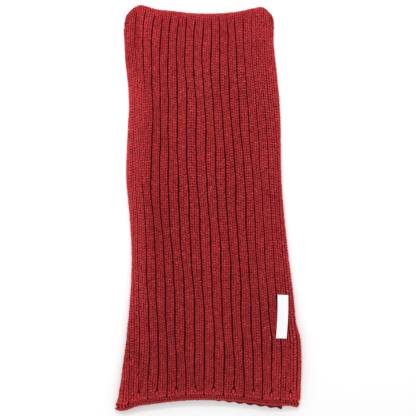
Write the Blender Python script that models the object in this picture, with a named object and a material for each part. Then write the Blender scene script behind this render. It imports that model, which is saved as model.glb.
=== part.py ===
"""A rib-knit scarf folded once across its length and laid flat, with a woven label near one edge.

The origin is under the middle of the folded scarf, on the surface that it lies on.
X runs across the scarf, +Y points to the fold, -Y to the two ends, and +Z is up.
The ribs are counted across the cloth, from 0 at the left selvedge to RIBS at the right one.
"""

import math
from collections import namedtuple

import bmesh
import bpy
import numpy as np

# Driving dimensions, in metres.
RIBS = 19
CLOTH = 0.0060  # wall of one layer of rib knit
SEAM_GAP = 0.0003  # between pieces that meet
SIDE_RADIUS = 0.0040  # middle of the cloth, where a selvedge rolls under
FOLD_RADIUS = 0.0050  # middle of the cloth, round the fold
LIE_HEIGHT = CLOTH + SEAM_GAP + CLOTH / 2  # middle of the upper layer, on the lower one
GROOVE_DEPTH = 0.0024
GROOVE_HALF_WIDTH = 0.09  # in ribs
SHOULDER = 0.15  # in ribs, from a groove to the rib's flat top
HEM_LENGTH = 0.0065
HEM_THICKNESS = 0.0052
LABEL_SIZE = (0.0195, 0.0790, 0.0008)
LABEL_PLACE = (0.1370, -0.2010)
LABEL_LEAN = math.radians(1.9)

# Where the upper layer's visible outline runs, and how its ribs lie between the two sides.
# y is the height of the section, left and right the outline, middle the place of rib 10's left groove,
# and first and last the rib count at the left and right outline: what is outside them is rolled under.
Section = namedtuple("Section", "y left right first last middle")
SECTIONS = [
    Section(0.364, -0.1520, 0.1275, 0.20, 19.00, -0.0100),
    Section(0.310, -0.1530, 0.1195, 0.90, 18.60, -0.0100),
    Section(0.273, -0.1515, 0.1230, 0.93, 18.60, -0.0103),
    Section(0.236, -0.1470, 0.1270, 1.20, 18.60, -0.0090),
    Section(0.200, -0.1445, 0.1304, 1.40, 18.60, -0.0070),
    Section(0.126, -0.1475, 0.1330, 1.35, 18.30, -0.0044),
    Section(0.052, -0.1492, 0.1340, 1.30, 18.15, -0.0015),
    Section(-0.022, -0.1430, 0.1404, 1.35, 18.30, 0.0019),
    Section(-0.096, -0.1396, 0.1478, 1.43, 18.40, 0.0061),
    Section(-0.170, -0.1430, 0.1574, 1.10, 18.60, 0.0090),
    Section(-0.207, -0.1460, 0.1610, 0.87, 18.66, 0.0100),
    Section(-0.244, -0.1496, 0.1695, 0.60, 18.90, 0.0110),
    Section(-0.281, -0.1548, 0.1710, 0.30, 19.00, 0.0114),
    Section(-0.318, -0.1607, 0.1700, 0.00, 19.00, 0.0114),
    Section(-0.358, -0.1712, 0.1690, 0.00, 19.00, 0.0108),
]

# How far the fold's outer line and the cast-on edge lie from a straight line, rib by rib.
Edge = namedtuple("Edge", "rib off")
FOLD_Y = 0.364
FOLD_LIP = FOLD_Y - FOLD_RADIUS - CLOTH / 2  # where the fold meets the two layers
FOLD_LINE = [
    Edge(0.0, -0.0190),
    Edge(0.4, -0.0100),
    Edge(0.9, 0.0010),
    Edge(1.8, 0.0110),
    Edge(2.5, 0.0094),
    Edge(3.2, 0.0066),
    Edge(4.0, 0.0024),
    Edge(5.4, 0.0000),
    Edge(9.0, -0.0055),
    Edge(11.0, -0.0060),
    Edge(14.6, -0.0018),
    Edge(16.8, 0.0055),
    Edge(17.5, 0.0074),
    Edge(18.2, 0.0020),
    Edge(19.0, -0.0150),
]
HEM_Y = -0.3565
HEM_LINE = [
    Edge(0.0, -0.0185),
    Edge(1.0, -0.0166),
    Edge(1.9, -0.0100),
    Edge(3.5, -0.0055),
    Edge(5.5, -0.0010),
    Edge(7.6, 0.0018),
    Edge(10.2, 0.0018),
    Edge(13.0, -0.0018),
    Edge(16.0, -0.0080),
    Edge(18.0, -0.0095),
    Edge(18.7, -0.0115),
    Edge(19.0, -0.0070),
]
LIP_INSET = 0.03  # how much narrower the fold gets on its way to the lower layer, as a share
FOLD_REACH = 0.055  # how far down the cloth the fold's line still shapes the rows
HEM_REACH = 0.090
CORNER_FLARE = 0.0110  # how much wider the first rib opens at the cast-on corner

# The lower layer's two ends of its cast-off edge, which is wavy and shows past the upper one.
Corner = namedtuple("Corner", "x y")
BACK_HEM_LEFT = Corner(-0.1400, -0.3340)
BACK_HEM_RIGHT = Corner(0.1350, -0.3690)
BACK_INSET = 0.0080  # from the upper layer's outline to the lower layer's edge
SCALLOP = 0.0011
SCALLOPS = 15

RED_WOOL = (0.390, 0.026, 0.032, 1.0)
DARK_RED_WOOL = (0.300, 0.018, 0.023, 1.0)
WHITE_WEAVE = (0.850, 0.850, 0.860, 1.0)


def smooth_step(low, high, value):
    share = np.clip((np.asarray(value, float) - low) / (high - low), 0.0, 1.0)
    return share * share * (3.0 - 2.0 * share)


def through(places, values, at):
    """A smooth curve through the values at rising places, read where it is asked for."""
    places, values = np.asarray(places, float), np.asarray(values, float)
    slopes = np.gradient(values, places)
    at = np.clip(np.asarray(at, float), places[0], places[-1])
    i = np.clip(np.searchsorted(places, at, side="right") - 1, 0, len(places) - 2)
    span = places[i + 1] - places[i]
    t = (at - places[i]) / span
    start = (2 * t**3 - 3 * t**2 + 1) * values[i] + (t**3 - 2 * t**2 + t) * span * slopes[i]
    end = (3 * t**2 - 2 * t**3) * values[i + 1] + (t**3 - t**2) * span * slopes[i + 1]
    return start + end


def section_at(y):
    """The outline and the rib counts at one height, read between the SECTIONS."""
    heights = [s.y for s in reversed(SECTIONS)]
    read = [through(heights, [getattr(s, name) for s in reversed(SECTIONS)], y) for name in Section._fields[1:]]
    return Section(y, *(float(value) for value in read))


def edge_line(edges, rib):
    return through([e.rib for e in edges], [e.off for e in edges], rib)


def across(section, rib):
    """How far across the cloth lies with its selvedges unrolled, for each rib count."""
    rib = np.asarray(rib, float)
    # The outline is where the cloth has turned a quarter round its side.
    turned = SIDE_RADIUS * (math.pi / 2 - 1) - CLOTH / 2
    flare = CORNER_FLARE * (1 - smooth_step(HEM_Y, HEM_Y + 0.045, section.y))
    left, right = section.left - turned + flare, section.right + turned
    a, b, c = section.first, 10.0, section.last
    flat = (
        left * (rib - b) * (rib - c) / ((a - b) * (a - c))
        + section.middle * (rib - a) * (rib - c) / ((b - a) * (b - c))
        + right * (rib - a) * (rib - b) / ((c - a) * (c - b))
    )
    return flat - flare * np.clip(1 - rib, 0, 1) ** 1.5


def middle_height(section, x):
    """The height of the middle of the upper layer: it rises to its rolled sides and to the fold."""
    inside = np.minimum(x - section.left, section.right - x) - SIDE_RADIUS - CLOTH / 2
    side = 1 - smooth_step(0.0, 0.018, inside)
    rolled = 2 * SIDE_RADIUS + CLOTH / 2
    corner = 0.0068
    rim = corner + (rolled - corner) * smooth_step(-0.345, -0.290, section.y)
    lift = 2 * FOLD_RADIUS + CLOTH / 2 - LIE_HEIGHT
    to_fold = smooth_step(FOLD_Y - 0.055, FOLD_Y - 0.008, section.y)
    side_height = LIE_HEIGHT + (rim - LIE_HEIGHT) * side
    return side_height + (LIE_HEIGHT + lift - side_height) * to_fold


def most_turn(section):
    """How far a selvedge may roll: right under, but half of that at the hem and not at all at the fold."""
    to_fold = smooth_step(FOLD_Y - 0.050, FOLD_Y - 0.012, section.y)
    to_hem = 1 - smooth_step(-0.345, -0.290, section.y)
    return math.pi * (1 - to_fold) * (1 - 0.5 * to_hem)


def rib_range(section):
    """The rib counts at which the rolled left and right sides end."""
    ribs = np.linspace(0, RIBS, 400)
    flat = across(section, ribs)
    start_left = section.left + SIDE_RADIUS + CLOTH / 2
    start_right = section.right - SIDE_RADIUS - CLOTH / 2
    reach = SIDE_RADIUS * most_turn(section)
    low = np.interp(start_left - reach, flat, ribs)
    high = np.interp(start_right + reach, flat, ribs)
    return float(low), float(high)


def rows_shift(rib, y):
    """How far a row of stitches is moved along the cloth by the fold's line and the cast-on edge."""
    top = edge_line(FOLD_LINE, rib) * smooth_step(FOLD_LIP - FOLD_REACH, FOLD_LIP - SEAM_GAP, y)
    foot = edge_line(HEM_LINE, rib) * (1 - smooth_step(HEM_Y, HEM_Y + HEM_REACH, y))
    return top + foot


def upper_layer(rib, y, off):
    """Points of the upper layer: off is the distance from the middle of the cloth, out of its upper face."""
    section = section_at(y)
    rib, off = np.asarray(rib, float), np.asarray(off, float)
    flat = across(section, rib)
    start_left = section.left + SIDE_RADIUS + CLOTH / 2
    start_right = section.right - SIDE_RADIUS - CLOTH / 2
    past = np.maximum(start_left - flat, 0) - np.maximum(flat - start_right, 0)
    turn = np.abs(past) / SIDE_RADIUS
    out = -np.sign(past)
    kept = np.clip(flat, start_left, start_right)
    height = middle_height(section, kept)
    x = kept + out * (SIDE_RADIUS + off) * np.sin(turn)
    z = height - SIDE_RADIUS * (1 - np.cos(turn)) + off * np.cos(turn)
    return np.column_stack([x, y + rows_shift(rib, y), z])


def groove(rib, y):
    """How far the upper face drops at this rib count: deep between ribs, shallow where the cloth is stretched."""
    rib = np.asarray(rib, float)
    away = np.abs(rib - np.round(rib))
    near_side = smooth_step(0.8, 3.2, np.minimum(rib, RIBS - rib))
    near_fold = 1 - 0.6 * smooth_step(FOLD_Y - 0.030, FOLD_Y, y)
    shoulder = 0.0003 * (away < SHOULDER)
    return GROOVE_DEPTH * (0.3 + 0.7 * near_side) * near_fold * np.exp(-((away / GROOVE_HALF_WIDTH) ** 2)) + shoulder


def outer_ribs(low, high):
    """The rib counts of the points across an upper face: four to a rib, and evenly spaced at both sides."""
    inner = [k + part for k in range(2, RIBS - 2) for part in (0, SHOULDER, 0.5, 1 - SHOULDER)]
    return np.concatenate([np.linspace(low, 2, 8, endpoint=False), inner, np.linspace(RIBS - 2, high, 9)])


def inner_picks(count):
    """Which points across an upper face have a partner on the under face."""
    return [0, 2, 4, 6, *range(8, count - 9, 8), count - 9, count - 7, count - 5, count - 3, count - 1]


def new_object(name, mesh, colour, roughness):
    data = bpy.data.meshes.new(name)
    mesh.normal_update()
    bmesh.ops.recalc_face_normals(mesh, faces=mesh.faces)
    mesh.to_mesh(data)
    mesh.free()
    data.shade_smooth()
    data.set_sharp_from_angle(angle=math.radians(50))
    material = bpy.data.materials.get(name) or bpy.data.materials.new(name)
    material.use_nodes = True
    shader = material.node_tree.nodes["Principled BSDF"]
    shader.inputs["Base Color"].default_value = colour
    shader.inputs["Roughness"].default_value = roughness
    shader.inputs["Metallic"].default_value = 0.0
    data.materials.append(material)
    placed = bpy.data.objects.new(name, data)
    bpy.context.scene.collection.objects.link(placed)
    return placed


def loft(mesh, rings):
    """Faces from ring to ring. Each ring is a closed line of as many points."""
    lines = [[mesh.verts.new(point) for point in ring] for ring in rings]
    for a, b in zip(lines, lines[1:]):
        for i in range(len(a)):
            j = (i + 1) % len(a)
            mesh.faces.new((a[i], a[j], b[j], b[i]))
    return lines


def cap_wall(mesh, line, count):
    """Closes the end of a wall: each stretch of its under face with the points of the upper face over it."""
    picks = inner_picks(count)
    under = list(reversed(line[count:]))
    for i, (a, b) in enumerate(zip(picks, picks[1:])):
        middle = (a + b) // 2
        for k in range(a, b):
            mesh.faces.new((line[k], line[k + 1], under[i] if k < middle else under[i + 1]))
        mesh.faces.new((line[middle], under[i + 1], under[i]))


def wall_ring(rib, upper, under):
    return [*upper, *reversed([under[i] for i in inner_picks(len(rib))])]


def make_front():
    """The upper layer, from the fold to the cast-on edge, with its ribs and its rolled sides."""
    start = FOLD_LIP - SEAM_GAP
    end = HEM_Y + HEM_LENGTH + 2 * SEAM_GAP
    heights = [start, start - 0.012, start - 0.028, start - 0.050, *np.linspace(start - 0.085, end + 0.03, 14), end]
    rings = []
    for y in heights:
        rib = outer_ribs(*rib_range(section_at(y)))
        upper = upper_layer(rib, y, CLOTH / 2 - groove(rib, y))
        under = upper_layer(rib, y, np.full(len(rib), -CLOTH / 2))
        rings.append(wall_ring(rib, upper, under))
    mesh = bmesh.new()
    lines = loft(mesh, rings)
    for line in (lines[0], lines[-1]):
        cap_wall(mesh, line, len(rib))
    return new_object("front_panel", mesh, RED_WOOL, 0.9)


def fold_ring(turn):
    """The section of the fold, turned from the upper layer, at 0, to the lower one, at pi."""
    rib = outer_ribs(*rib_range(section_at(FOLD_LIP)))
    outer = upper_layer(rib, FOLD_LIP, CLOTH / 2 - groove(rib, FOLD_Y))
    inner = upper_layer(rib, FOLD_LIP, np.full(len(rib), -CLOTH / 2 + 0.0004))
    axis_z = FOLD_RADIUS + CLOTH / 2
    axis_y = FOLD_LIP + edge_line(FOLD_LINE, rib) * (1 - smooth_step(math.pi / 2, 0.85 * math.pi, turn))
    narrowed = 1 - LIP_INSET * (1 - math.cos(turn)) / 2

    def swept(points):
        reach = points[:, 2] - axis_z
        return np.column_stack([points[:, 0] * narrowed, axis_y + reach * math.sin(turn), axis_z + reach * math.cos(turn)])

    return wall_ring(rib, swept(outer), swept(inner)), len(rib)


def make_fold():
    """The rounded turn that joins the two layers."""
    steps = 8
    rings = []
    for i in range(steps + 1):
        ring, count = fold_ring(math.pi * i / steps)
        rings.append(ring)
    mesh = bmesh.new()
    lines = loft(mesh, rings)
    for line in (lines[0], lines[-1]):
        cap_wall(mesh, line, count)
    return new_object("fold", mesh, RED_WOOL, 0.9)


def back_hem_share(x):
    return (x - BACK_HEM_LEFT.x) / (BACK_HEM_RIGHT.x - BACK_HEM_LEFT.x)


def back_hem_y(x):
    """The middle of the lower layer's wavy outer edge."""
    return BACK_HEM_LEFT.y + back_hem_share(x) * (BACK_HEM_RIGHT.y - BACK_HEM_LEFT.y)


def back_sides(y):
    """The left and right edges of the lower layer."""
    section = section_at(y)
    to_hem = 1 - float(smooth_step(-0.345, -0.230, y))
    left = section.left + BACK_INSET + to_hem * (BACK_HEM_LEFT.x - section_at(-0.345).left - BACK_INSET)
    right = section.right - BACK_INSET + to_hem * (BACK_HEM_RIGHT.x - section_at(-0.345).right + BACK_INSET)
    return left, right


def make_back():
    """The lower layer, flat where it rests on the surface."""
    columns = 24
    edge_in = np.zeros(columns + 1)
    edge_in[0], edge_in[-1] = 0.0016, -0.0016
    lip = upper_layer(rib_range(section_at(FOLD_LIP)), FOLD_LIP, [0, 0])[:, 0] * (1 - LIP_INSET)
    rings = []
    for share in [0, 0.012, 0.025, 0.045, *np.linspace(0.09, 1, 12)]:
        level = FOLD_LIP + share * (BACK_HEM_LEFT.y - FOLD_LIP)
        sides = lip + (np.array(back_sides(level)) - lip) * smooth_step(0, 0.025, share)
        x = np.linspace(*sides, columns + 1)
        face = x + edge_in
        foot = back_hem_y(face) + HEM_LENGTH + SEAM_GAP
        y = FOLD_LIP - SEAM_GAP + share * (foot - FOLD_LIP + SEAM_GAP)
        up = [(face[j], y[j], CLOTH) for j in range(columns + 1)]
        down = [(face[j], y[j], 0.0) for j in reversed(range(columns + 1))]
        rings.append([*up, (x[-1], y[-1], CLOTH / 2), *down, (x[0], y[0], CLOTH / 2)])
    mesh = bmesh.new()
    lines = loft(mesh, rings)
    for line in (lines[0], lines[-1]):
        up, down = line[: columns + 1], list(reversed(line[columns + 2 : -1]))
        for j in range(columns):
            mesh.faces.new((up[j], up[j + 1], down[j + 1], down[j]))
        mesh.faces.new((up[0], down[0], line[-1]))
        mesh.faces.new((up[-1], line[columns + 1], down[-1]))
    return new_object("back_panel", mesh, DARK_RED_WOOL, 0.9)


def bar(name, rings, colour):
    """A closed bar through the given rings."""
    mesh = bmesh.new()
    lines = loft(mesh, rings)
    for line in (lines[0], lines[-1]):
        mesh.faces.new(line)
    return new_object(name, mesh, colour, 0.9)


def make_front_hem():
    """The chained cast-on edge below the upper layer's ribs."""
    rings = []
    sides = 8
    for rib in outer_ribs(*rib_range(section_at(HEM_Y + HEM_LENGTH))):
        bulge = 1 - 0.12 * math.exp(-(((rib - round(rib)) / 0.2) ** 2))
        ring = []
        for i in range(sides):
            angle = 2 * math.pi * (i + 0.5) / sides
            along = HEM_LENGTH / 2 * (1 - math.cos(angle) / math.cos(math.pi / sides))
            off = HEM_THICKNESS / 2 * bulge * math.sin(angle)
            point = upper_layer([rib], HEM_Y + HEM_LENGTH, [off])[0]
            ring.append((point[0], point[1] - along, point[2]))
        rings.append(ring)
    return bar("front_hem", rings, RED_WOOL)


def make_back_hem():
    """The wavy cast-off edge of the lower layer, flat where it rests."""
    rings = []
    left, right = back_sides(BACK_HEM_LEFT.y)
    # Height and place along the cloth of each point of the section, as shares of its size.
    shape = [(0.0, 1.0), (0.55, 0.92), (0.95, 0.62), (1.0, 0.30), (0.85, 0.0), (0.15, 0.0)]
    for x in np.linspace(left, right, 4 * SCALLOPS + 1):
        inner = back_hem_y(float(x)) + HEM_LENGTH
        reach = HEM_LENGTH + SCALLOP * math.cos(2 * math.pi * SCALLOPS * back_hem_share(float(x)))
        ring = [(x, inner - reach * along, HEM_THICKNESS * up) for along, up in shape]
        rings.append(ring)
    return bar("back_hem", rings, DARK_RED_WOOL)


def make_label():
    """A woven label that lies on the ribs beside the right selvedge."""
    width, length, thickness = LABEL_SIZE
    columns, rows = 4, 14
    cos, sin = math.cos(LABEL_LEAN), math.sin(LABEL_LEAN)
    mesh = bmesh.new()
    faces = {}
    for level in (0, 1):
        for i in range(rows + 1):
            for j in range(columns + 1):
                across_by = width * (j / columns - 0.5)
                along_by = length * (i / rows - 0.5)
                x = LABEL_PLACE[0] + across_by * cos + along_by * sin
                y = LABEL_PLACE[1] - across_by * sin + along_by * cos
                height = float(middle_height(section_at(y), x)) + CLOTH / 2 + SEAM_GAP
                faces[level, i, j] = mesh.verts.new((x, y, height + level * thickness))
    for i in range(rows):
        for j in range(columns):
            for level in (0, 1):
                mesh.faces.new([faces[level, i + a, j + b] for a, b in ((0, 0), (0, 1), (1, 1), (1, 0))])
    rim = [(0, j) for j in range(columns)] + [(i, columns) for i in range(rows)]
    rim += [(rows, columns - j) for j in range(columns)] + [(rows - i, 0) for i in range(rows)]
    for a, b in zip(rim, rim[1:] + rim[:1]):
        mesh.faces.new((faces[0, *a], faces[0, *b], faces[1, *b], faces[1, *a]))
    return new_object("label", mesh, WHITE_WEAVE, 0.6)


def main():
    for old in list(bpy.data.objects):
        bpy.data.objects.remove(old)
    make_front()
    make_fold()
    make_back()
    make_front_hem()
    make_back_hem()
    make_label()


main()
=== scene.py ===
import math

import bmesh
import bpy
import numpy as np
from mathutils import Matrix


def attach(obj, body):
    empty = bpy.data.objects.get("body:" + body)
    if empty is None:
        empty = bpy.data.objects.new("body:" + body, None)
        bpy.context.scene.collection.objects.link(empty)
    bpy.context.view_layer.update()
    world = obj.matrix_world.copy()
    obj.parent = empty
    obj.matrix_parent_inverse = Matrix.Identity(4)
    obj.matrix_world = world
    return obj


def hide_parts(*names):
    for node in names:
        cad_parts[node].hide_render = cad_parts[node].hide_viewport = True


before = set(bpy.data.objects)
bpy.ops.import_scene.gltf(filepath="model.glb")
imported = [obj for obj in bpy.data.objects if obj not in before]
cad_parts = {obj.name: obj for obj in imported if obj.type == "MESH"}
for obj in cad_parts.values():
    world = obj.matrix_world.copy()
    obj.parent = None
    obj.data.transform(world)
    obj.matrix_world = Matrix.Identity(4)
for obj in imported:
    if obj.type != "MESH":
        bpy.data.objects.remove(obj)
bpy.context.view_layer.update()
print("frame loaded")


def columns(names, *rows):
    return dict(zip(names.split(), zip(*rows)))


# the cloth: all sizes in metres, ribs counted from 0 at the left selvedge
cloth = {
    "ribs": 19, "middleRib": 10, "wall": 0.0060, "gap": 0.0003, "rowPitch": 0.00490,
    "sideRadius": 0.0040, "foldRadius": 0.0050, "foldY": 0.364, "hemY": -0.3565, "backLength": 0.690,
    "foldReach": 0.055, "lipReach": 0.008, "lipInset": 0.03, "shiftEnds": 0.85, "backBlend": 0.025,
    "hemReach": 0.090, "flare": 0.0110, "flareReach": 0.045,
    "curlFrom": -0.345, "curlTo": -0.290, "uncurlFrom": 0.050, "uncurlTo": 0.012,
    "hemRim": 0.0068, "sideReach": 0.018, "crown": 0.0034, "crownReach": 0.045, "deepestUnder": -0.0002,
}
lipY = cloth["foldY"] - cloth["foldRadius"] - cloth["wall"] / 2
rollRadius = cloth["sideRadius"] + cloth["wall"] / 2
lieHeight = 1.5 * cloth["wall"] + cloth["gap"]
lengthToLip = lipY - cloth["hemY"]
lengthOfTurn = math.pi * cloth["foldRadius"]
lowerStarts = lengthToLip + lengthOfTurn

# the outline of the upper layer, the rib counts that show there, and the middle rib's place
outline = columns(
    "y left right first last middle",
    (-0.358, -0.1742, 0.1690, 0.00, 19.00, 0.0108),
    (-0.318, -0.1612, 0.1700, 0.00, 19.00, 0.0114),
    (-0.281, -0.1548, 0.1710, 0.30, 19.00, 0.0114),
    (-0.244, -0.1496, 0.1695, 0.60, 18.90, 0.0110),
    (-0.207, -0.1460, 0.1610, 0.87, 18.66, 0.0100),
    (-0.170, -0.1430, 0.1574, 1.10, 18.60, 0.0090),
    (-0.096, -0.1396, 0.1478, 1.43, 18.40, 0.0061),
    (-0.022, -0.1430, 0.1404, 1.35, 18.30, 0.0019),
    (0.052, -0.1492, 0.1340, 1.30, 18.15, -0.0015),
    (0.126, -0.1475, 0.1330, 1.35, 18.30, -0.0044),
    (0.200, -0.1445, 0.1304, 1.40, 18.60, -0.0070),
    (0.236, -0.1470, 0.1270, 1.20, 18.60, -0.0090),
    (0.273, -0.1515, 0.1230, 0.93, 18.60, -0.0103),
    (0.310, -0.1530, 0.1195, 0.90, 18.60, -0.0100),
    (0.340, -0.1542, 0.1202, 0.55, 18.80, -0.0100),
    (0.364, -0.1508, 0.1205, 0.20, 19.00, -0.0100),
)
# how far up the rows lie at the fold and at the cast-on edge, rib by rib
foldLine = columns(
    "rib off",
    (0.00, -0.0260), (0.25, -0.0175), (0.55, -0.0098), (0.90, -0.0030), (1.50, 0.0052), (2.05, 0.0092),
    (2.70, 0.0090), (3.50, 0.0045), (4.50, 0.0012), (5.40, 0.0000), (9.00, -0.0055), (11.00, -0.0060),
    (14.60, -0.0018), (16.80, 0.0050), (17.40, 0.0062), (18.10, 0.0000), (18.60, -0.0085), (19.00, -0.0180),
)
hemLine = columns(
    "rib off",
    (0.00, -0.0150), (0.45, -0.0188), (1.00, -0.0166), (1.90, -0.0100), (3.50, -0.0055), (5.50, -0.0010),
    (7.60, 0.0018), (10.20, 0.0018), (13.00, -0.0018), (16.00, -0.0080), (18.00, -0.0095), (18.70, -0.0115),
    (19.00, -0.0070),
)
# how far the ribs lie from an even spread: places along the cloth, and a row for each rib
ruck = {
    "y": [-0.358, -0.303, -0.207, 0.015, 0.200, 0.273, 0.360],
    1: [0.0, 0.0013, 0.0028, 0.0105, 0.0130, 0.0085, 0.0],
    3: [0.0015, 0.0030, 0.0036, 0.0020, 0.0058, 0.0040, 0.0006],
    6: [0.0006, 0.0010, 0.0003, -0.0032, 0.0002, -0.0006, 0.0037],
    10: [0.0, 0.0, 0.0, -0.0002, 0.0002, 0.0, 0.0013],
    14: [0.0002, 0.0005, -0.0018, 0.0002, -0.0022, -0.0017, -0.0009],
    17: [-0.0031, -0.0027, -0.0056, -0.0052, -0.0055, -0.0042, -0.0015],
    18: [-0.0030, -0.0045, -0.0060, -0.0063, -0.0049, -0.0041, -0.0010],
    19: [0.0005, 0.0022, -0.0009, -0.0033, -0.0039, -0.0041, -0.0010],
}
backHem = {
    "left": (-0.1400, -0.3340), "right": (0.1350, -0.3690), "inset": 0.0080,
    "footY": -0.345, "narrowsFrom": -0.230, "scallop": 0.0012, "scallops": 14, "back": 0.0005,
}

# soft creases, listed one by one: where, how far across and along they reach, which way they lean, how deep
creases = [
    {"x": -0.133, "y": 0.322, "wide": 0.0070, "long": 0.040, "lean": 0.08, "rise": -0.0058},
    {"x": -0.117, "y": 0.325, "wide": 0.010, "long": 0.040, "lean": 0.05, "rise": 0.0016},
    {"x": 0.104, "y": 0.338, "wide": 0.010, "long": 0.030, "lean": -0.15, "rise": -0.0012},
    {"x": -0.060, "y": 0.210, "wide": 0.040, "long": 0.055, "lean": 0.6, "rise": 0.0009},
    {"x": 0.050, "y": 0.120, "wide": 0.055, "long": 0.050, "lean": -0.5, "rise": -0.0008},
    {"x": -0.070, "y": -0.040, "wide": 0.050, "long": 0.060, "lean": -0.4, "rise": -0.0008},
    {"x": 0.090, "y": -0.130, "wide": 0.040, "long": 0.070, "lean": 0.3, "rise": 0.0010},
    {"x": -0.020, "y": -0.250, "wide": 0.060, "long": 0.040, "lean": 0.2, "rise": 0.0008},
    {"x": -0.135, "y": -0.290, "wide": 0.014, "long": 0.050, "lean": -0.2, "rise": -0.0016},
    {"x": -0.141, "y": -0.325, "wide": 0.0050, "long": 0.050, "lean": -0.12, "rise": -0.0026},
    {"x": -0.124, "y": -0.322, "wide": 0.0065, "long": 0.055, "lean": -0.05, "rise": -0.0030},
    {"x": -0.108, "y": -0.300, "wide": 0.0050, "long": 0.060, "lean": -0.05, "rise": -0.0018},
    {"x": -0.104, "y": 0.050, "wide": 0.0075, "long": 0.110, "lean": 0.02, "rise": -0.0022},
    {"x": -0.094, "y": -0.060, "wide": 0.0060, "long": 0.080, "lean": 0.10, "rise": -0.0016},
    {"x": 0.150, "y": -0.315, "wide": 0.016, "long": 0.040, "lean": 0.1, "rise": -0.0012},
]
# where the cloth is pulled flat and its grooves shut, and how far: each span runs from none to all
pulls = {
    "left side": [{"shut": 0.68, "rib": (3.8, 1.0)}],
    "left side, half way up": [{"shut": 0.78, "rib": (3.7, 3.2), "up": (0.03, 0.09), "down": (0.25, 0.19)}],
    "right side": [{"shut": 0.35, "rib": (13.5, 16.5), "up": (-0.20, -0.10)}],
    "last groove": [
        {"shut": 0.55, "rib": (17.2, 18.0)},
        {"shut": 0.27, "rib": (17.2, 18.0), "down": (-0.20, -0.30)},
    ],
    "right foot": [{"shut": 0.45, "rib": (16.3, 16.9), "down": (-0.27, -0.31)}],
    "cast-on edge": [{"shut": 0.40, "down": (-0.305, -0.338)}],
    "right head": [
        {"shut": 0.30, "rib": (15.4, 16.0), "up": (0.12, 0.26)},
        {"shut": 0.45, "rib": (16.2, 17.0), "up": (0.12, 0.26)},
    ],
    "fold": [{"shut": 0.80, "up": (lipY - 0.014, lipY + 0.002)}],
}
# the ribs don't run quite true: how far in ribs, how fast along the cloth and from rib to rib
wanders = [(0.055, 31, 0.9), (0.030, 67, 2.3)]


def soft(low, high, value):
    share = np.clip((np.asarray(value, float) - low) / (high - low), 0, 1)
    return share * share * (3 - 2 * share)


def curve(table, key, place, at):
    places, values = np.array(table[place]), np.array(table[key])
    slopes = np.gradient(values, places)
    at = np.clip(np.asarray(at, float), places[0], places[-1])
    i = np.clip(np.searchsorted(places, at, side="right") - 1, 0, len(places) - 2)
    span = places[i + 1] - places[i]
    t = (at - places[i]) / span
    return (
        (2 * t**3 - 3 * t**2 + 1) * values[i] + (t**3 - 2 * t**2 + t) * span * slopes[i]
        + (3 * t**2 - 2 * t**3) * values[i + 1] + (t**3 - t**2) * span * slopes[i + 1]
    )


def curled(y):
    return soft(cloth["curlFrom"], cloth["curlTo"], y)


def mostTurn(y):
    # a selvedge rolls right under, but only a quarter at the hem and not at all at the fold
    toFold = soft(cloth["foldY"] - cloth["uncurlFrom"], cloth["foldY"] - cloth["uncurlTo"], y)
    return math.pi * (1 - toFold) * (0.5 + 0.5 * curled(y))


def sideInset(y):
    return rollRadius * np.sin(np.minimum(mostTurn(y), math.pi / 2))


def across(y, rib):
    # a parabola through the two outlines and the middle groove, opened out at the cast-on corner
    left, right, first, last, middle = (
        curve(outline, k, "y", y) for k in ("left", "right", "first", "last", "middle")
    )
    mid = cloth["middleRib"]
    turned = rollRadius * (math.pi / 2 - 1)
    flare = cloth["flare"] * (1 - soft(cloth["hemY"], cloth["hemY"] + cloth["flareReach"], y))
    a, b, c = left - turned + flare, middle, right + turned
    flat = (
        a * (rib - mid) * (rib - last) / ((first - mid) * (first - last))
        + b * (rib - first) * (rib - last) / ((mid - first) * (mid - last))
        + c * (rib - first) * (rib - mid) / ((last - first) * (last - mid))
    )
    marks = [k for k in ruck if k != "y"]
    at = np.clip(rib, marks[0], marks[-1])
    for low, mark, high in zip([marks[0] - 1, *marks], marks, [*marks[1:], marks[-1] + 1]):
        near = np.clip(np.minimum((at - low) / (mark - low), (high - at) / (high - mark)), 0, 1)
        flat = flat + near * curve(ruck, mark, "y", y)
    return flat - flare * np.clip(1 - rib, 0, 1) ** 1.5, left, right


def restHeight(y, x, left, right):
    # flat on the lower layer, crowned in the middle, down to the roll at its sides, up to the fold
    inside = np.minimum(x - left, right - x) - sideInset(y)
    side = 1 - soft(0, cloth["sideReach"], inside)
    full = 2 * cloth["sideRadius"] + cloth["wall"] / 2
    rim = cloth["hemRim"] + (full - cloth["hemRim"]) * curled(y)
    low = lieHeight + (rim - lieHeight) * side + cloth["crown"] * soft(0, cloth["crownReach"], inside)
    high = 2 * cloth["foldRadius"] + cloth["wall"] / 2
    toFold = soft(cloth["foldY"] - cloth["foldReach"], cloth["foldY"] - cloth["lipReach"], y)
    return low + (high - low) * toFold


def creaseRise(x, y):
    rise = 0.0
    for c in creases:
        along = (y - c["y"]) + c["lean"] * (x - c["x"])
        over = (x - c["x"]) - c["lean"] * (y - c["y"])
        rise = rise + c["rise"] * np.exp(-((over / c["wide"]) ** 2) - (along / c["long"]) ** 2)
    fade = soft(cloth["hemY"], cloth["hemY"] + 0.03, y) * (1 - soft(lipY - 0.02, lipY, y))
    return rise * fade


def rowsShift(rib, y):
    top = curve(foldLine, "off", "rib", rib) * soft(lipY - cloth["foldReach"], lipY - cloth["gap"], y)
    foot = curve(hemLine, "off", "rib", rib) * (1 - soft(cloth["hemY"], cloth["hemY"] + cloth["hemReach"], y))
    return top + foot


def wander(rib, y):
    return sum(size * np.sin(along * y + perRib * rib) for size, along, perRib in wanders)


def within(zone, rib, y):
    share = 1.0
    for way, at in (("rib", rib), ("up", y), ("down", y)):
        if way in zone:
            share = share * soft(*zone[way], at)
    return share


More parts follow.
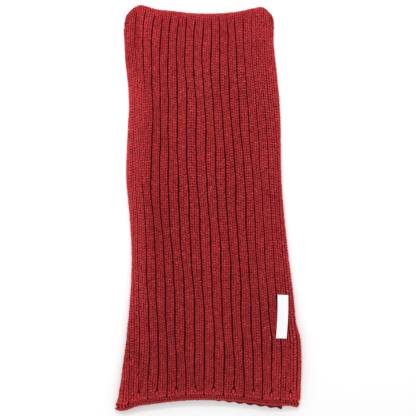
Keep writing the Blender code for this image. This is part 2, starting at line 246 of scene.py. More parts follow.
def openness(rib, y):
    # how far the grooves open
    opened = 1.0
    for zones in pulls.values():
        opened = opened * (1 - sum(zone["shut"] * within(zone, rib, y) for zone in zones))
    return opened


def ribRange(y):
    # the rib counts at the two cut sides
    ribs = np.linspace(0, cloth["ribs"], 400)
    flat, left, right = across(y, ribs)
    reach, inset = rollRadius * mostTurn(y), sideInset(y)
    sides = (left + inset - reach, right - inset + reach)
    return tuple(float(np.interp(side, flat, ribs)) for side in sides)


def rolled(rib, y):
    # how far a rib has gone round with the roll of the selvedge, and to which side
    flat, left, right = across(y, rib)
    inset = sideInset(y)
    past = np.maximum(left + inset - flat, 0) - np.maximum(flat - right + inset, 0)
    return np.abs(past) / rollRadius, -np.sign(past), flat, left, right, inset


def upperPoint(rib, y, off):
    rib, y, off = np.broadcast_arrays(*(np.asarray(value, float) for value in (rib, y, off)))
    turn, out, flat, left, right, inset = rolled(rib, y)
    kept = np.clip(flat, left + inset, right - inset)
    crease = creaseRise(kept, y)
    crease = np.where(off < 0, np.maximum(crease, cloth["deepestUnder"]), crease)
    height = restHeight(y, kept, left, right) + crease
    x = kept + out * (cloth["sideRadius"] + off) * np.sin(turn)
    z = height - cloth["sideRadius"] * (1 - np.cos(turn)) + off * np.cos(turn)
    return x, y + rowsShift(rib, y), z


lipRange = ribRange(lipY)
lipX = upperPoint(np.array(lipRange), lipY, 0.0)[0] * (1 - cloth["lipInset"])


def backSides(y):
    left, right = curve(outline, "left", "y", y), curve(outline, "right", "y", y)
    foot = backHem["footY"]
    footLeft, footRight = curve(outline, "left", "y", foot), curve(outline, "right", "y", foot)
    toHem = 1 - soft(foot, backHem["narrowsFrom"], y)
    left = left + backHem["inset"] + toHem * (backHem["left"][0] - footLeft - backHem["inset"])
    right = right - backHem["inset"] + toHem * (backHem["right"][0] - footRight + backHem["inset"])
    return left, right


def backHemY(x):
    (x0, y0), (x1, y1) = backHem["left"], backHem["right"]
    return y0 + (x - x0) / (x1 - x0) * (y1 - y0)


def clothPoint(rib, s, off):
    # s runs along the cloth from the cast-on edge, up the upper layer, round the fold and down the lower
    # one, and off is the distance from the middle of the wall
    rib, s, off = np.broadcast_arrays(*(np.asarray(value, float) for value in (rib, s, off)))
    y = np.minimum(cloth["hemY"] + s, lipY)
    fromSide = np.minimum(rib, cloth["ribs"] - rib)
    x, yUp, z = upperPoint(rib + wander(rib, y) * soft(1.0, 3.0, fromSide), y, off)
    turn = np.clip((s - lengthToLip) / cloth["foldRadius"], 0, math.pi)
    axisZ = cloth["foldRadius"] + cloth["wall"] / 2
    reach = z - axisZ
    shift = curve(foldLine, "off", "rib", rib) * (1 - soft(math.pi / 2, cloth["shiftEnds"] * math.pi, turn))
    xTurn = x * (1 - cloth["lipInset"] * (1 - np.cos(turn)) / 2)
    onTurn = s > lengthToLip
    x = np.where(onTurn, xTurn, x)
    yOut = np.where(onTurn, lipY + shift + reach * np.sin(turn), yUp)
    z = np.where(onTurn, axisZ + reach * np.cos(turn), z)
    # the lower layer lies flat, from the fold to its own edge
    share = np.clip((s - lowerStarts) / cloth["backLength"], 0, 1.02)
    level = lipY + share * (backHem["left"][1] - lipY)
    left, right = backSides(level)
    blend = soft(0, cloth["backBlend"], share)
    left, right = lipX[0] + (left - lipX[0]) * blend, lipX[1] + (right - lipX[1]) * blend
    q = (rib - lipRange[0]) / (lipRange[1] - lipRange[0])
    xBack = left + (right - left) * q
    onBack = share > 0
    x = np.where(onBack, xBack * blend + x * (1 - blend), x)
    yOut = np.where(onBack, lipY + share * (backHemY(xBack) - lipY), yOut)
    z = np.where(onBack, cloth["wall"] / 2 - off, z)
    return x, yOut, z


def meshObject(name, verts, faceSize, faces, loopUvs=None, tonesAndShades=None):
    mesh = bpy.data.meshes.new(name)
    mesh.vertices.add(len(verts))
    mesh.vertices.foreach_set("co", verts.astype(np.float32).ravel())
    mesh.loops.add(faces.size)
    mesh.loops.foreach_set("vertex_index", faces.astype(np.int32).ravel())
    mesh.polygons.add(len(faces))
    mesh.polygons.foreach_set("loop_start", np.arange(0, faces.size, faceSize, dtype=np.int32))
    for layer, uvs in (loopUvs or {}).items():
        mesh.uv_layers.new(name=layer).data.foreach_set("uv", uvs.astype(np.float32).ravel())
    if tonesAndShades is not None:
        mesh.attributes.new("tone", "FLOAT", "POINT").data.foreach_set("value", tonesAndShades.astype(np.float32))
    mesh.update(calc_edges=True)
    mesh.validate()
    mesh.shade_smooth()
    made = bpy.data.objects.new(name, mesh)
    bpy.context.scene.collection.objects.link(made)
    return made


class Socket:
    def __init__(self, tree, socket):
        self.tree, self.socket = tree, socket

    def math(self, kind, *others):
        node = self.tree.nodes.new("ShaderNodeMath")
        node.operation = kind
        for i, value in enumerate((self, *others)):
            if isinstance(value, Socket):
                self.tree.links.new(value.socket, node.inputs[i])
            else:
                node.inputs[i].default_value = value
        return Socket(self.tree, node.outputs[0])

    def __add__(self, other):

        return self.math("ADD", other)

    def __sub__(self, other):
        return self.math("SUBTRACT", other)

    def __mul__(self, other):
        return self.math("MULTIPLY", other)

    def __pow__(self, other):
        return self.math("POWER", other)

    __radd__ = __add__
    __rmul__ = __mul__

    def __rsub__(self, other):
        return (self * -1) + other

    def clamp(self, low=0.0, high=1.0):
        return self.math("MAXIMUM", low).math("MINIMUM", high)


class Finish:
    # a material with its Principled shader, and ways to add nodes to it
    def __init__(self, name, **settings):
        self.material = bpy.data.materials.new(name)
        self.material.use_nodes = True
        self.tree = self.material.node_tree
        self.shader = self.tree.nodes["Principled BSDF"]
        for key, value in settings.items():
            self.shader.inputs[key.replace("_", " ")].default_value = value

    def node(self, kind, output=0, settings=None, **inputs):
        made = self.tree.nodes.new(kind)
        for key, value in (settings or {}).items():
            setattr(made, key, value)
        for key, value in inputs.items():
            self.feed(made.inputs[key.replace("_", " ")], value)
        return Socket(self.tree, made.outputs[output])

    def feed(self, target, value):
        if isinstance(value, Socket):
            self.tree.links.new(value.socket, target)
        else:
            target.default_value = value

    def mix(self, share, a, b):
        made = self.tree.nodes.new("ShaderNodeMix")
        made.data_type = "RGBA"
        self.feed(made.inputs[0], share)
        self.feed(made.inputs[6], a)
        self.feed(made.inputs[7], b)
        return Socket(self.tree, made.outputs[2])

    def colour(self, value):
        self.feed(self.shader.inputs["Base Color"], value)

    def bump(self, height, strength, distance):
        made = self.node("ShaderNodeBump", Height=height, Strength=strength, Distance=distance)
        self.feed(self.shader.inputs["Normal"], made)

    def noise(self, scale, detail=3.0):
        place = self.node("ShaderNodeTexCoord", 3)
        return self.node("ShaderNodeTexNoise", 0, None, Vector=place, Scale=scale, Detail=detail)

    # the strands' tone: their own uneven tone, with painted light and shade laid over it
    def tone(self):
        return self.node("ShaderNodeAttribute", 2, {"attribute_name": "tone"})

    def uv(self, layer, axis):
        made = self.node("ShaderNodeUVMap", 0, {"uv_map": layer})
        return self.node("ShaderNodeSeparateXYZ", axis, None, Vector=made)


# heathered yarn: what each thing adds to the colour, where paler fibres show, and how the plies twist; the
# parts by tone and by crown, and the pinker red of the palest strands, are painted light and shade
yarn = {
    "heatherScale": 420.0, "driftScale": 9.0, "fibreScale": 1100.0, "hairScale": 2200.0,
    "topTone": 0.64, "byToneAndShade": 0.55, "paintedCrownLight": 0.85, "byHeather": 0.45, "byDrift": 0.25, "deeper": 0.34,
    "paintedHighlightFrom": 0.60, "paintedHighlightSteep": 1.9, "paintedHighlight": (1.36, 1.85, 1.75),
    "fibres": 3.4, "fibresFrom": 0.52, "fibresByToneAndShade": 1.3, "fibresLeast": 0.3,
    "twistAlong": 3.0, "twistRound": 2.0, "plies": 0.8, "hair": 1.4, "bump": 0.8, "deep": 0.0007,
}


def woolFinish(name, dark, bright, fleckAndHighlight):
    c = yarn
    f = Finish(name, Roughness=0.88, Sheen_Weight=0.12, Sheen_Roughness=0.4,
               Sheen_Tint=(0.95, 0.26, 0.28, 1.0), Specular_IOR_Level=0.12)
    # a paler, pinker red for the painted highlight
    paintedHighlightRed = (*(more * part for more, part in zip(c["paintedHighlight"], bright)), 1)
    heather, drift = f.noise(c["heatherScale"], 4.0) - 0.5, f.noise(c["driftScale"], 2.0) - 0.5
    along, around = f.uv("yarn", 0), f.uv("yarn", 1)
    # painted light on the crown of each leg and painted shade at its ends, where it dives under
    crown = 1 - (along * 2 - 1).math("ABSOLUTE") ** 2.0
    tone = f.tone()
    byToneAndShade = tone.math("MINIMUM", c["topTone"]) * c["byToneAndShade"]
    share = byToneAndShade + crown * c["paintedCrownLight"] + heather * c["byHeather"] + drift * c["byDrift"] - c["deeper"]
    # strands above a set tone turn to that pinker red: a painted highlight
    paintedHighlight = ((tone - c["paintedHighlightFrom"]) * c["paintedHighlightSteep"]).clamp()
    base = f.mix(share.clamp(), dark, f.mix(paintedHighlight, bright, paintedHighlightRed))
    # the paler fibres are the yarn's own heather, but they show most on the crowns and on the palest strands,
    # so they are partly painted highlight
    fibres = (f.noise(c["fibreScale"], 2.0) - c["fibresFrom"]).clamp() * c["fibres"] * crown
    fibres = fibres * (tone * c["fibresByToneAndShade"] + c["fibresLeast"])
    f.colour(f.mix(fibres.clamp(), base, fleckAndHighlight))
    plies = ((along * c["twistAlong"] + around * c["twistRound"]) * (2 * math.pi)).math("SINE")
    f.bump(plies * c["plies"] + f.noise(c["hairScale"], 3.0) * c["hair"], c["bump"], c["deep"])
    return f.material


# the sheet's own look: how the loops of its bump lean and bulge, and what makes it paler: painted light on
# the bump's crests, painted shade in the grooves, and heather
sheetLook = {
    "lean": 0.9, "legBulge": 0.6, "loopBulge": 0.5, "grooveShadeEdge": 10, "lightByHeight": 0.75, "byHeather": 0.5,
    "hairScale": 2600.0, "hair": 0.2, "deep": 0.0018,
}


def clothFinish(name, dark, bright, under):
    # the sheet behind the stitches, and the underside, whose stitches are in its bump
    f = Finish(name, Roughness=0.95, Sheen_Weight=0.03, Sheen_Roughness=0.5,
               Sheen_Tint=(0.9, 0.2, 0.2, 1.0), Specular_IOR_Level=0.02)
    c = sheetLook
    rib, row = f.uv("lay", 0), f.uv("lay", 1)
    inRib = rib.math("FRACT")
    fromWale = ((inRib * 2).math("FRACT") - 0.5).math("ABSOLUTE")
    leg = (fromWale * (2 * math.pi)).math("SINE").math("ABSOLUTE")
    loop = ((row + fromWale * c["lean"]) * math.pi).math("SINE").math("ABSOLUTE")
    height = (leg ** c["legBulge"]) * (loop ** c["loopBulge"])
    outOfGrooveShade = ((inRib - 0.5).math("ABSOLUTE") * -c["grooveShadeEdge"] + c["grooveShadeEdge"] / 2).clamp()
    heather = f.noise(yarn["heatherScale"], 4.0) - 0.5
    # paler on the crests of the bump and darker in the grooves: painted light and shade
    share = ((height * c["lightByHeight"] + heather * c["byHeather"]) * outOfGrooveShade).clamp()
    # behind the stitches it is painted near black, as shade, and below it shows its own
    shows = (row - lengthToLip / cloth["rowPitch"]).clamp()
    f.colour(f.mix(shows, f.mix(share, dark, bright), f.mix(share, bright, under)))
    f.bump(height + f.noise(c["hairScale"], 2.0) * c["hair"], 1.0, c["deep"])
    return f.material


# the wool's reds: a deep red, the main red, and a pale fleck that is the yarn's own paler fibres and also a
# painted highlight
deepRed, woolRed, paleFibreAndHighlight = (0.125, 0.0025, 0.005, 1), (0.615, 0.0178, 0.0262, 1), (1.0, 0.24, 0.26, 1)
shadedReds = (0.05, 0.002, 0.003, 1), (0.24, 0.010, 0.014, 1), (0.45, 0.05, 0.05, 1)
# the sheet's reds: near black as painted shade behind the stitches, then the two reds of the underside
sheetRedsAndShade = (0.024, 0.001, 0.002, 1), (0.20, 0.008, 0.012, 1), (0.62, 0.024, 0.034, 1)
finishes = {
    "front": woolFinish("red wool knit", deepRed, woolRed, paleFibreAndHighlight),
    "edge": woolFinish("red wool chained edge", deepRed, woolRed, paleFibreAndHighlight),
    "under": woolFinish("red wool in shade", *shadedReds),
    "cloth": clothFinish("red wool sheet in painted shade", *sheetRedsAndShade),
}
print("finishes made")

rng = np.random.default_rng(19)

# the sheet: one length of knitting, from the cast-on edge round the fold to the cast-off edge
sheetCut = {
    "rowsUp": 150, "rowsTurn": 12, "rowsDown": 60, "startsAt": 0.0062, "seam": 0.0005, "endsAt": 0.992,
    "partsOfRib": (0.0, 0.10, 0.28, 0.5, 0.72, 0.90), "firstWhole": 2, "lastWhole": 17, "sidePoints": 12,
    "set": 0.0014, "easeOut": 0.03, "groove": 0.0026, "groovesWide": 0.13, "thin": 0.0008,
}


def sheetRibs(low, high):
    c = sheetCut
    inner = [k + part for k in range(c["firstWhole"], c["lastWhole"]) for part in c["partsOfRib"]]
    left = np.linspace(low, c["firstWhole"], c["sidePoints"], endpoint=False)
    return np.concatenate([left, inner, np.linspace(c["lastWhole"], high, c["sidePoints"] + 1)])


def makeSheet():
    c = sheetCut
    stations = np.concatenate([
        np.linspace(c["startsAt"], lengthToLip, c["rowsUp"], endpoint=False),
        np.linspace(lengthToLip, lowerStarts, c["rowsTurn"], endpoint=False),
        np.linspace(lowerStarts + c["seam"], lowerStarts + cloth["backLength"] * c["endsAt"], c["rowsDown"]),
    ])
    ribs = np.array([sheetRibs(*ribRange(min(cloth["hemY"] + s, lipY))) for s in stations])
    columnCount, rowCount = ribs.shape[1] - 1, len(stations) - 1
    bm = bmesh.new()
    made = bmesh.ops.create_grid(bm, x_segments=columnCount, y_segments=rowCount, size=0.5)
    bmesh.ops.translate(bm, verts=made["verts"], vec=(0.5, 0.5, 0))
    walls = bmesh.ops.extrude_face_region(bm, geom=bm.faces[:])
    inner = [e for e in walls["geom"] if isinstance(e, bmesh.types.BMVert)]
    bmesh.ops.translate(bm, verts=inner, vec=(0, 0, -1))
    lay, bake = bm.loops.layers.uv.new("lay"), bm.loops.layers.uv.new("OFBake")
    at = np.array([v.co for v in bm.verts])
    i, j = np.rint(at[:, 1] * rowCount).astype(int), np.rint(at[:, 0] * columnCount).astype(int)
    isOuter = at[:, 2] > -0.5
    rib, s = ribs[i, j], stations[i]
    fromGroove = np.abs(rib - np.round(rib))
    opened = openness(rib, np.minimum(cloth["hemY"] + s, cloth["foldY"]))
    drop = c["set"] + c["groove"] * np.exp(-((fromGroove / c["groovesWide"]) ** 2)) * opened
    below = s > lowerStarts
    drop = np.where(below, drop - c["set"] * soft(0, c["easeOut"], s - lowerStarts), drop)
    half = cloth["wall"] / 2
    x, y, z = clothPoint(rib, s, np.where(isOuter, half - drop, c["thin"] * (1 - below) - half))
    for v, *place in zip(bm.verts, x, y, z):
        v.co = place
    bm.verts.index_update()
    for face in bm.faces:
        for loop in face.loops:
            k = loop.vert.index
            loop[lay].uv = (rib[k], s[k] / cloth["rowPitch"])
            # the two faces lie side by side on the baked sheet
            loop[bake].uv = (at[k, 0] * 0.49 + (0 if isOuter[k] else 0.51), at[k, 1])
    bmesh.ops.recalc_face_normals(bm, faces=bm.faces)
    mesh = bpy.data.meshes.new("scarf_cloth")
    bm.to_mesh(mesh)
    bm.free()
    mesh.shade_smooth()
    made = bpy.data.objects.new("scarf_cloth", mesh)
    bpy.context.scene.collection.objects.link(made)
    made.data.materials.append(finishes["cloth"])
    return made


def strandShape(sides, rings):
    # one leg of a stitch: a closed drop of yarn, lying along Y, of unit half length, width and thickness
    bm = bmesh.new()
    bmesh.ops.create_uvsphere(bm, u_segments=sides, v_segments=rings, radius=1.0)
    bmesh.ops.rotate(bm, verts=bm.verts, cent=(0, 0, 0), matrix=Matrix.Rotation(math.pi / 2, 3, "X"))
    bmesh.ops.recalc_face_normals(bm, faces=bm.faces)
    bmesh.ops.triangulate(bm, faces=bm.faces)
    bm.verts.index_update()
    verts = np.array([v.co for v in bm.verts])
    faces = np.array([[v.index for v in f.verts] for f in bm.faces])
    bm.free()
    around = np.arctan2(verts[:, 0], verts[:, 2]) / (2 * math.pi) + 0.5
    uvs = np.stack([(verts[faces, 1] + 1) / 2, around[faces]], axis=-1)
    for face in uvs:
        if face[:, 1].max() - face[:, 1].min() > 0.5:
            face[face[:, 1] < 0.5, 1] += 1
    return verts, faces, uvs


# what places a strand: rib, place along the cloth, lean in ribs, half width in ribs, half length,
# half thickness, arch, distance from the middle of the wall, and tone, its own uneven tone with painted light
# and shade
strandKeys = ("rib", "s", "lean", "wide", "long", "thick", "arch", "off", "tone")
blunt = 0.85
bakeCell = {"tall": 1.4, "fill": 0.86, "margin": 0.07}


def layStrands(name, strand, spots, finish):
    verts, faces, uvs = strand
    rib, s, lean, wide, long, thick, arch, off, tone = (np.array(spots[k])[:, None] for k in strandKeys)
    a, l, h = verts.T
    full = np.sign(l) * np.abs(l) ** blunt
    x, y, z = clothPoint(rib + a * wide + full * lean, s + full * long, off + h * thick + arch * (1 - l**2))
    points = np.stack([x, y, z], axis=-1).reshape(-1, 3)
    count = len(rib)
    allFaces = (faces[None] + np.arange(count)[:, None, None] * len(verts)).reshape(-1, 3)
    # every strand has a cell of its own on the baked sheet
    side = math.ceil(math.sqrt(count))
    cell = np.stack([np.arange(count) % side, np.arange(count) // side], axis=-1)[:, None, None, :]
    inCell = np.clip(uvs / np.array([1.0, bakeCell["tall"]]), 0, 1) * bakeCell["fill"] + bakeCell["margin"]
    layers = {"yarn": np.broadcast_to(uvs[None], (count, *uvs.shape)), "OFBake": (inCell[None] + cell) / side}
    made = meshObject(name, points, 3, allFaces, layers, np.repeat(np.clip(tone, 0, 1), len(verts)))
    made.data.materials.append(finish)
    return made


# the stitches: two columns of Vs to a rib
stitch = {
    "waleAt": (0.278, 0.722), "legOut": 0.104, "lean": 0.052, "wide": 0.104, "long": 0.0033, "thick": 0.0018,
    "arch": 0.0016, "rise": 0.0009, "shoulder": 0.0012, "ribHalf": 0.35, "shut": 0.19,
    "firstRow": 0.0125, "onUnder": 0.026, "ahead": 0.002, "uneven": 0.3,
    "loose": 0.5, "looseLean": 0.25, "looseThick": 0.08, "drawnLong": 0.8, "drawnThick": 0.4,
    "sink": 0.0028, "sinkFrom": 1.5, "sinkTo": 2.7,
}
stitchJitter = {
    "rib": 0.008, "s": 0.00022, "lean": 0.007, "wide": 0.05, "long": 0.05, "thick": 0.05,
    "off": 0.0001, "tone": 0.14,
}
# how pale a stitch is: more on a ridge, where the grooves shut and at the paler left side, less in a crease
# and in a groove, all of it painted light and shade; the wale, row and jitter parts are the yarn's own uneven
# tone
stitchToneAndShade = {
    "base": 0.5, "crease": 55, "shut": 0.08, "paler": 0.46, "wale": 0.08, "row": 0.05, "groove": 0.12,
}
paintedLitSide = {"rib": (4.0, 1.8), "down": (0.30, 0.20), "up": (-0.28, -0.10)}
purlRoom = {"ribs": 0.19, "reach": 0.33, "from": 0.029, "to": 0.021}


def rowScale(s):
    # rows lie closer at the middle of the wall where the cloth turns over
    outer = cloth["foldRadius"] / (cloth["foldRadius"] + cloth["wall"] / 2)
    onTurn = soft(-0.001, 0.001, s - lengthToLip) * (1 - soft(-0.001, 0.001, s - lowerStarts))
    return 1 - (1 - outer) * onTurn


def nextRow(s):
    return s + cloth["rowPitch"] * float(rowScale(s + stitch["ahead"]))


def rowPlaces():
    # up to the fold, round it, and a few rows on underneath
    places, s = [], stitch["firstRow"] + cloth["rowPitch"] / 2
    while s < lowerStarts + stitch["onUnder"]:
        places.append(s)
        s = nextRow(s)
    return places


def stitchSpots(firstRow, lastRow):
    found = []
    for row in range(firstRow, lastRow):
        s = rows[row]
        low, high = ribRange(min(cloth["hemY"] + s, lipY))
        for k in range(cloth["ribs"]):
            for waleAt in stitch["waleAt"]:
                for hand in (-1, 1):
                    rib = k + waleAt + hand * stitch["legOut"]
                    if low < rib < high:
                        found.append((rib, s, hand, abs(rib - k - 0.5), row, k * 2 + (waleAt > 0.5)))
    return np.array(found)


def underLift(rib, s):
    # underneath, what rests is flat: the crowns of the stitches come level with it
    roll = rolled(rib, np.minimum(cloth["hemY"] + s, lipY))[0]
    turned = np.maximum((s - lengthToLip) / cloth["foldRadius"], roll)
    return stitch["sink"] * soft(stitch["sinkFrom"], stitch["sinkTo"], turned)


def makeStitches(name, firstRow, lastRow, shape):
    c, t = stitch, stitchToneAndShade
    rib, s, hand, fromCrown, row, wale = stitchSpots(firstRow, lastRow).T
    y = np.minimum(cloth["hemY"] + s, cloth["foldY"])
    opened = openness(rib, y)
    crown = np.floor(rib) + 0.5
    rib = crown + (rib - crown) * (1 + c["shut"] * (1 - opened))
    # they make way for the purl bumps over the cast-on edge
    fromPurl = rib - np.round(rib / 2) * 2
    makeWay = np.exp(-((fromPurl / purlRoom["reach"]) ** 2)) * soft(purlRoom["from"], purlRoom["to"], s)
    rib = rib + purlRoom["ribs"] * np.sign(fromPurl) * makeWay
    # where the fold draws the cloth out, the stitches are drawn out over each other
    ahead = c["ahead"]
    drawn = np.maximum(rowsShift(rib, y + ahead) - rowsShift(rib, y - ahead), 0) / (2 * ahead)
    # each wale and each row is a little tighter or looser than the next
    waleLoose = c["loose"] * np.sin(wale * 12.9898)
    rowLoose = c["loose"] * np.sin(row * 78.233 + np.floor(wale / 5))
    outOfCrown = fromCrown / c["ribHalf"]
    sunk = c["rise"] + c["shoulder"] * opened * outOfCrown**2 + underLift(rib, s)
    j = {key: rng.normal(0, size, len(rib)) for key, size in stitchJitter.items()}
    return layStrands(name, shape, {
        "rib": rib + j["rib"],
        "s": s + j["s"] + cloth["rowPitch"] * c["uneven"] * np.sin(wale * 3.7),
        "lean": hand * c["lean"] * (1 + c["looseLean"] * rowLoose) + j["lean"],
        "wide": c["wide"] * (1 + j["wide"]),
        "long": c["long"] * rowScale(s) * (1 + c["drawnLong"] * drawn + j["long"]),
        "thick": c["thick"] * (1 + c["drawnThick"] * drawn + c["looseThick"] * waleLoose + j["thick"]),
        "arch": np.full(len(rib), c["arch"]),
        "off": cloth["wall"] / 2 - sunk + j["off"],
        "tone": (
            t["base"] + t["crease"] * creaseRise(across(y, rib)[0], y) + t["shut"] * (1 - opened)
            + t["paler"] * within(paintedLitSide, rib, y) + t["wale"] * waleLoose + t["row"] * rowLoose
            - t["groove"] * opened * outOfCrown + j["tone"]
        ),
    }, finishes["front"])


sheet = makeSheet()
print("sheet made")
strand, roundStrand = strandShape(8, 5), strandShape(8, 6)
rows = rowPlaces()
cuts = [round(i * len(rows) / 5) for i in range(6)]
spans = list(zip(cuts, cuts[1:]))
stitchPieces = [makeStitches(f"stitches_{i + 1}", a, b, strand) for i, (a, b) in enumerate(spans)]
print("stitches made", [len(p.data.polygons) for p in stitchPieces])

# the chained cast-on edge: slanted links in two rows over a cord, and a purl bump in every second groove
chain = {
    "perRib": 4, "start": 0.35, "step": 0.06, "baseAt": (0.20, 0.40, 0.60, 0.80), "baseLean": 0.12,
    "purlEvery": 2, "purlSideOut": 0.105,
}
# each kind of link, its values in the order of strandKeys from s on
# the last value, the tone, paints light and shade: the purl crests and the lower links palest, the purl sides
# darker and the links behind near black
link = {
    name: dict(zip(strandKeys[1:], values)) for name, values in {
        "upper": (0.0082, -0.100, 0.092, 0.0028, 0.0023, 0.0008, 0.0017, 0.74),
        "lower": (0.0034, 0.120, 0.096, 0.0027, 0.0025, 0.0008, 0.0012, 0.92),
        "cord": (0.0017, 0.000, 0.200, 0.0017, 0.0021, 0.0000, 0.0003, 0.62),
        "behind": (0.0052, 0.000, 0.160, 0.0048, 0.0022, 0.0000, -0.0010, 0.02),
        "base": (0.0132, 0.000, 0.084, 0.0040, 0.0026, 0.0010, 0.0020, 0.78),
        "purlSide": (0.0182, 0.050, 0.066, 0.0056, 0.0020, 0.0008, 0.0013, 0.30),
        "purlFoot": (0.0124, 0.000, 0.085, 0.0046, 0.0020, 0.0006, 0.0014, 0.62),
        "purl": (0.0186, 0.000, 0.088, 0.0054, 0.0028, 0.0010, 0.0029, 1.00),
    }.items()
}
spotJitter = {"s": 0.0002, "tone": 0.10, "rib": 0.012}


def addSpot(spots, kind, rib, **more):
    for key, value in {**kind, **more, "rib": rib}.items():
        spots.setdefault(key, []).append(value + rng.normal(0, spotJitter.get(key, 0)))


def makeFrontHem():
    c = chain
    low, high = ribRange(cloth["hemY"])
    spots = {}
    for i in range(int(low * c["perRib"]) + 1, int(high * c["perRib"]) + 1):
        rib = (i - c["start"]) / c["perRib"]
        addSpot(spots, link["upper"], rib)
        for name in ("lower", "cord", "behind"):
            addSpot(spots, link[name], rib + c["step"])
    for k in range(cloth["ribs"]):
        for at in c["baseAt"]:
            if low < k + at < high:
                addSpot(spots, link["base"], k + at, lean=(0.5 - at) * c["baseLean"])
    for groove in range(2, cloth["ribs"], c["purlEvery"]):
        addSpot(spots, link["purl"], groove)
        addSpot(spots, link["purlFoot"], groove)
        for hand in (-1, 1):
            lean = -link["purlSide"]["lean"] * hand
            addSpot(spots, link["purlSide"], groove + c["purlSideOut"] * hand, lean=lean)
    return layStrands("front_edge", roundStrand, spots, finishes["edge"])


frontHem = makeFrontHem()

# the cast-off edge: rows of links that dip in shallow scallops, the outermost first
backLinks = {"count": 96, "lean": 0.03, "long": 0.0024, "thick": 0.0018, "arch": 0.0002, "toneJitter": 0.08}
# the rows' tones paint shade, darkest on the innermost row under the upper layer, and the edge takes the
# darker copy of the wool, red wool in shade
backRows = [
    {"s": 0.0008, "off": 0.0004, "wide": 0.20, "tone": 0.42},
    {"s": 0.0002, "off": -0.0012, "wide": 0.20, "tone": 0.55},
    {"s": -0.0034, "off": -0.0011, "wide": 0.12, "tone": 0.44},
    {"s": -0.0068, "off": -0.0010, "wide": 0.12, "tone": 0.34},
]


def makeBackHem():
    c = backLinks
    low, high = lipRange
    spots = {key: [] for key in strandKeys}
    end = lowerStarts + cloth["backLength"] - backHem["back"]
    for q in (np.arange(c["count"]) + 0.5) / c["count"]:
        wave = backHem["scallop"] * (2 * math.cos(math.pi * backHem["scallops"] * q) ** 2 - 1)
        for row in backRows:
            spot = {**c, **row, "rib": low + q * (high - low), "s": end + row["s"] + wave}
            spot["tone"] = row["tone"] + rng.normal(0, c["toneJitter"])
            for key in strandKeys:
                spots[key].append(spot[key])
    return layStrands("back_edge", roundStrand, spots, finishes["under"])


backEdge = makeBackHem()

# the selvedges: a chain of slanted loops over each cut side of the sheet, up, round the fold and down
selvedge = {"wide": 0.125, "long": 0.0034, "thick": 0.0017, "arch": 0.0, "tone": 0.50}
selvedgeLay = {"lean": 0.055, "apart": 0.0013, "lower": 0.0004, "shift": 0.0009, "inset": 0.01}
middleOfTurn = lengthToLip + lengthOfTurn / 2


def makeSelvedges(name, first, last):
    c, spots, s = selvedgeLay, {}, first
    while s < last:
        for rib, hand in zip(ribRange(min(cloth["hemY"] + s, lipY)), (-1, 1)):
            for side in (-1, 1):
                addSpot(spots, selvedge, rib - c["inset"] * hand, s=s + c["shift"] * side,
                        lean=c["lean"] * side * hand, off=side * c["apart"] - c["lower"])
                spots["long"][-1] *= float(rowScale(s))
        s = nextRow(s)
    return layStrands(name, strand, spots, finishes["front"])


selvedges = [
    makeSelvedges("selvedges_upper", 0.0085, middleOfTurn),
    makeSelvedges("selvedges_lower", middleOfTurn + 0.001, lowerStarts + cloth["backLength"] - 0.004),
]
print("edges made")

# the label: a bare strip of satin-woven tape, its ends turned under and tacked at the corners
label = {
    "width": 0.0195, "length": 0.0800, "thick": 0.0007, "x": 0.1362, "y": -0.1998, "lean": 0.038,
    "bow": 0.0012, "lift": 0.0033, "across": 16, "along": 60, "weftPitch": 0.42, "warpPitch": 0.36,
    "sink": 0.0005, "tack": 0.0004, "ripple": 0.00012, "turnedUnder": 0.00035, "edge": 0.0002,
}


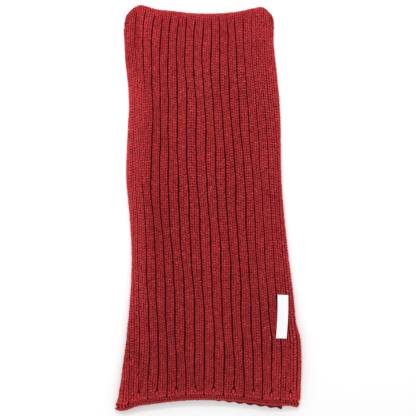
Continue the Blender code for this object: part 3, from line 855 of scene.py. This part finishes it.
def makeLabel():
    c = label
    bm = bmesh.new()
    bmesh.ops.create_grid(bm, x_segments=c["across"], y_segments=c["along"], size=0.5)
    walls = bmesh.ops.extrude_face_region(bm, geom=bm.faces[:])
    inner = [e for e in walls["geom"] if isinstance(e, bmesh.types.BMVert)]
    bmesh.ops.translate(bm, verts=inner, vec=(0, 0, -1))
    lay, bake = bm.loops.layers.uv.new("lay"), bm.loops.layers.uv.new("OFBake")
    at = np.array([v.co for v in bm.verts])
    u, v = at[:, 0] * c["width"], at[:, 1] * c["length"]
    u = u + c["bow"] * np.cos(at[:, 1] * math.pi)
    x = c["x"] + u * math.cos(c["lean"]) + v * math.sin(c["lean"])
    y = c["y"] - u * math.sin(c["lean"]) + v * math.cos(c["lean"])
    left, right = curve(outline, "left", "y", y), curve(outline, "right", "y", y)
    rest = restHeight(y, x, left, right) + creaseRise(x, y) + cloth["wall"] / 2 + c["lift"]
    # it sinks a little where the cloth between two ribs pulls it in, and at its tacked ends
    out = np.abs(at[:, 1])
    sink = c["sink"] * np.exp(-(((at[:, 0] + 0.02) / 0.16) ** 2)) + c["tack"] * soft(0.43, 0.5, out)
    ripple = c["ripple"] * (np.sin(at[:, 1] * 41 + at[:, 0] * 4) + 0.5 * np.sin(at[:, 1] * 93))
    fold = c["turnedUnder"] * soft(0.40, 0.415, out)
    edge = c["edge"] * soft(0.46, 0.5, np.abs(at[:, 0]))
    z = rest - sink + ripple + fold - edge + np.where(at[:, 2] < -0.5, -c["thick"], 0)
    bm.verts.index_update()
    for face in bm.faces:
        for loop in face.loops:
            k = loop.vert.index
            loop[lay].uv = (at[k, 0] * c["width"] * 1000, at[k, 1] * c["length"] * 1000)
            loop[bake].uv = ((at[k, 0] + 0.5) * 0.24 + (0 if at[k, 2] > -0.5 else 0.26), at[k, 1] + 0.5)
    for vert, *p in zip(bm.verts, x, y, z):
        vert.co = p
    bmesh.ops.recalc_face_normals(bm, faces=bm.faces)
    mesh = bpy.data.meshes.new("label_tape")
    bm.to_mesh(mesh)
    bm.free()
    mesh.shade_smooth()
    mesh.set_sharp_from_angle(angle=math.radians(60))
    made = bpy.data.objects.new("label_tape", mesh)
    bpy.context.scene.collection.objects.link(made)
    f = Finish("white satin tape", Roughness=0.55, Sheen_Weight=0.15, Sheen_Roughness=0.4)
    over, along = f.uv("lay", 0), f.uv("lay", 1)
    weft = ((along * (2 * math.pi / c["weftPitch"])).math("SINE") + 1) * 0.5
    warp = (((over + along * 0.5) * (2 * math.pi / c["warpPitch"])).math("SINE") + 1) * 0.5
    thread = weft * 0.6 + warp * 0.4
    share = (thread * 0.6 + f.noise(300.0) * 0.4).clamp()
    f.colour(f.mix(share, (0.80, 0.80, 0.82, 1), (0.92, 0.92, 0.93, 1)))
    f.bump(thread + f.noise(900.0) * 0.3, 0.35, 0.0002)
    made.data.materials.append(f.material)
    return made


labelTape = makeLabel()
print("label made")

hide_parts("front_panel", "fold", "back_panel")
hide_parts("front_hem")
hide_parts("back_hem")
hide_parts("label")
slots = {
    "front_panel": [sheet, *stitchPieces, selvedges[0]], "back_panel": [selvedges[1]],
    "front_hem": [frontHem], "back_hem": [backEdge], "label": [labelTape],
}
for slotName, pieces in slots.items():
    for piece in pieces:
        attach(piece, "root")


# the floor, the light and the camera
lights = [
    ("soft box left", (-2.4, 1.0, 1.2), 1.4, 250),
    ("soft box right", (2.6, 0.7, 1.2), 1.4, 172),
    ("soft box above", (-0.2, 1.5, 1.9), 1.2, 104),
]
view = {"height": 0.768, "lens": 85, "sensor": 36, "above": 0.010}


def makeStage():
    mesh = bpy.data.meshes.new("floor")
    bm = bmesh.new()
    bmesh.ops.create_grid(bm, x_segments=1, y_segments=1, size=6.0)
    bm.to_mesh(mesh)
    bm.free()
    floor = bpy.data.objects.new("floor", mesh)
    bpy.context.scene.collection.objects.link(floor)
    f = Finish("pale floor", Base_Color=(0.95, 0.95, 0.95, 1), Roughness=0.95, Specular_IOR_Level=0.0)
    mesh.materials.append(f.material)
    world = bpy.data.worlds.new("studio")
    world.use_nodes = True
    sky = world.node_tree.nodes["Background"]
    sky.inputs["Color"].default_value = (1, 1, 1, 1)
    sky.inputs["Strength"].default_value = 0.92
    bpy.context.scene.world = world
    for name, at, size, power in lights:
        light = bpy.data.lights.new(name, "AREA")
        light.size, light.energy = size, power
        lamp = bpy.data.objects.new(name, light)
        lamp.location = at
        turn = -np.array(at) / np.linalg.norm(at)
        lamp.rotation_euler = (math.acos(-turn[2]), 0, math.atan2(turn[0], -turn[1]))
        bpy.context.scene.collection.objects.link(lamp)
    data = bpy.data.cameras.new("camera")
    data.lens, data.sensor_width = view["lens"], view["sensor"]
    camera = bpy.data.objects.new("camera", data)
    camera.location = (0, 0, view["height"] * view["lens"] / view["sensor"] + view["above"])
    bpy.context.scene.collection.objects.link(camera)
    bpy.context.scene.camera = camera
    bpy.context.scene.view_settings.view_transform = "Standard"


makeStage()
print("stage made")
